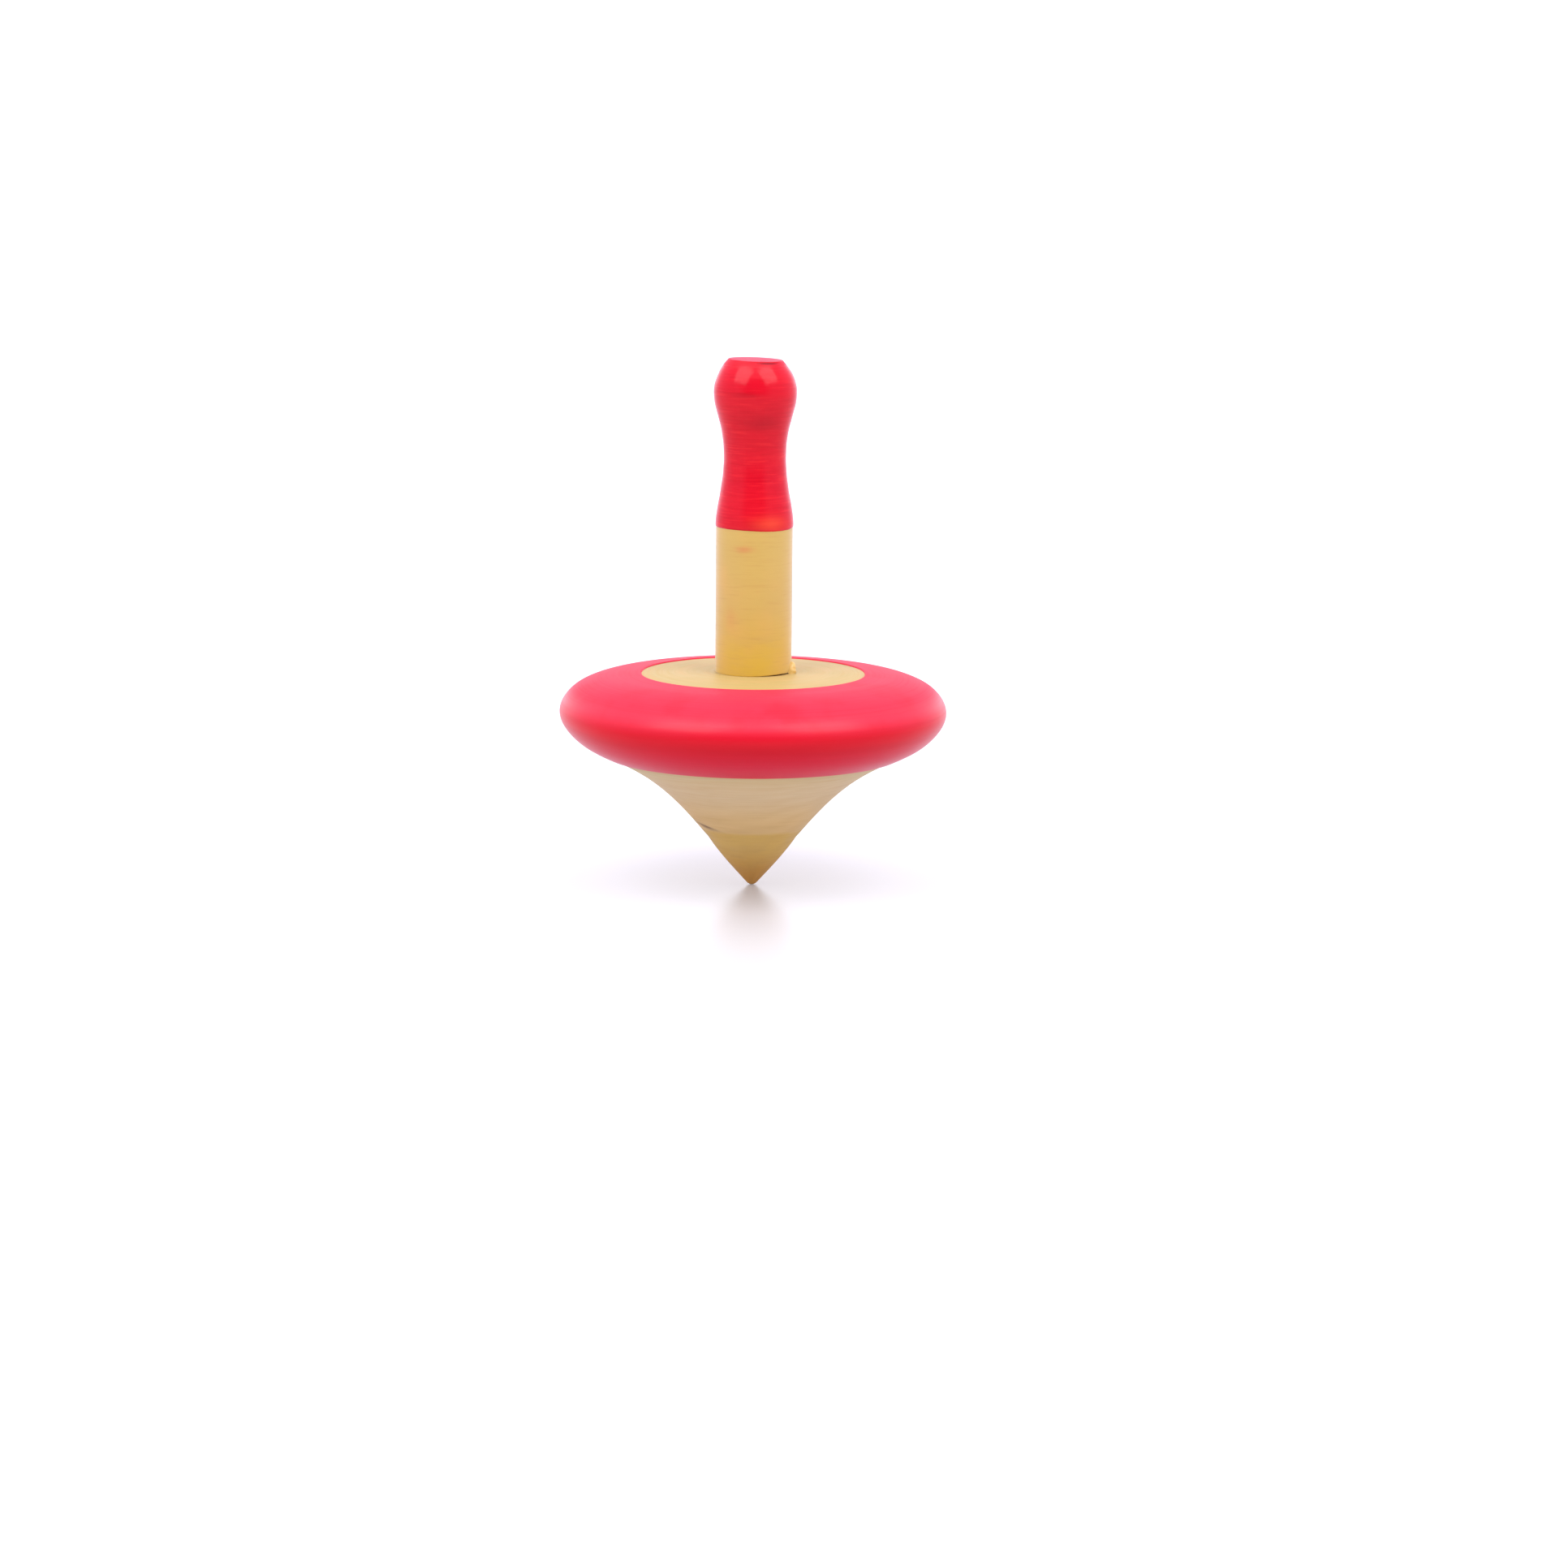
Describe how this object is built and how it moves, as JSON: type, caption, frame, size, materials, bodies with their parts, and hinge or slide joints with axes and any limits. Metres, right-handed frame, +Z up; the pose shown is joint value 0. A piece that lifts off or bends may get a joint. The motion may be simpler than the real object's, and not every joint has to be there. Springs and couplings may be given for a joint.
{
  "type": "spinning top",
  "caption": "Finger spinning top: a turned wooden disc on a flared cone with a pointed tip, and a round stem with a waisted grip glued upright in its crown.",
  "frame": {"origin": "the point that the top spins on, at the bottom of the cone", "axes": "+Z up along the spin axis, from the point to the end of the grip; +X towards the side with the bead of glue, within 20 degrees"},
  "size_m": [0.05, 0.05, 0.0683],
  "materials": {
    "natural_wood": "turned and burnished bare hardwood, satin",
    "stem_wood": "turned hardwood, hidden under its lacquer",
    "red_lacquer": "red shellac lacquer melted on at the lathe, glossy with fine turning streaks",
    "yellow_lacquer": "thin translucent yellow shellac lacquer, satin gloss",
    "cured_glue": "dried yellowish wood glue"
  },
  "bodies": {
    "root": {"flywheel_body": "natural_wood", "stem": "stem_wood", "stem_glue": "cured_glue", "glue_bead": "cured_glue", "rim_lacquer": "red_lacquer", "grip_lacquer": "red_lacquer", "shaft_lacquer": "yellow_lacquer"}
  },
  "joints": []
}
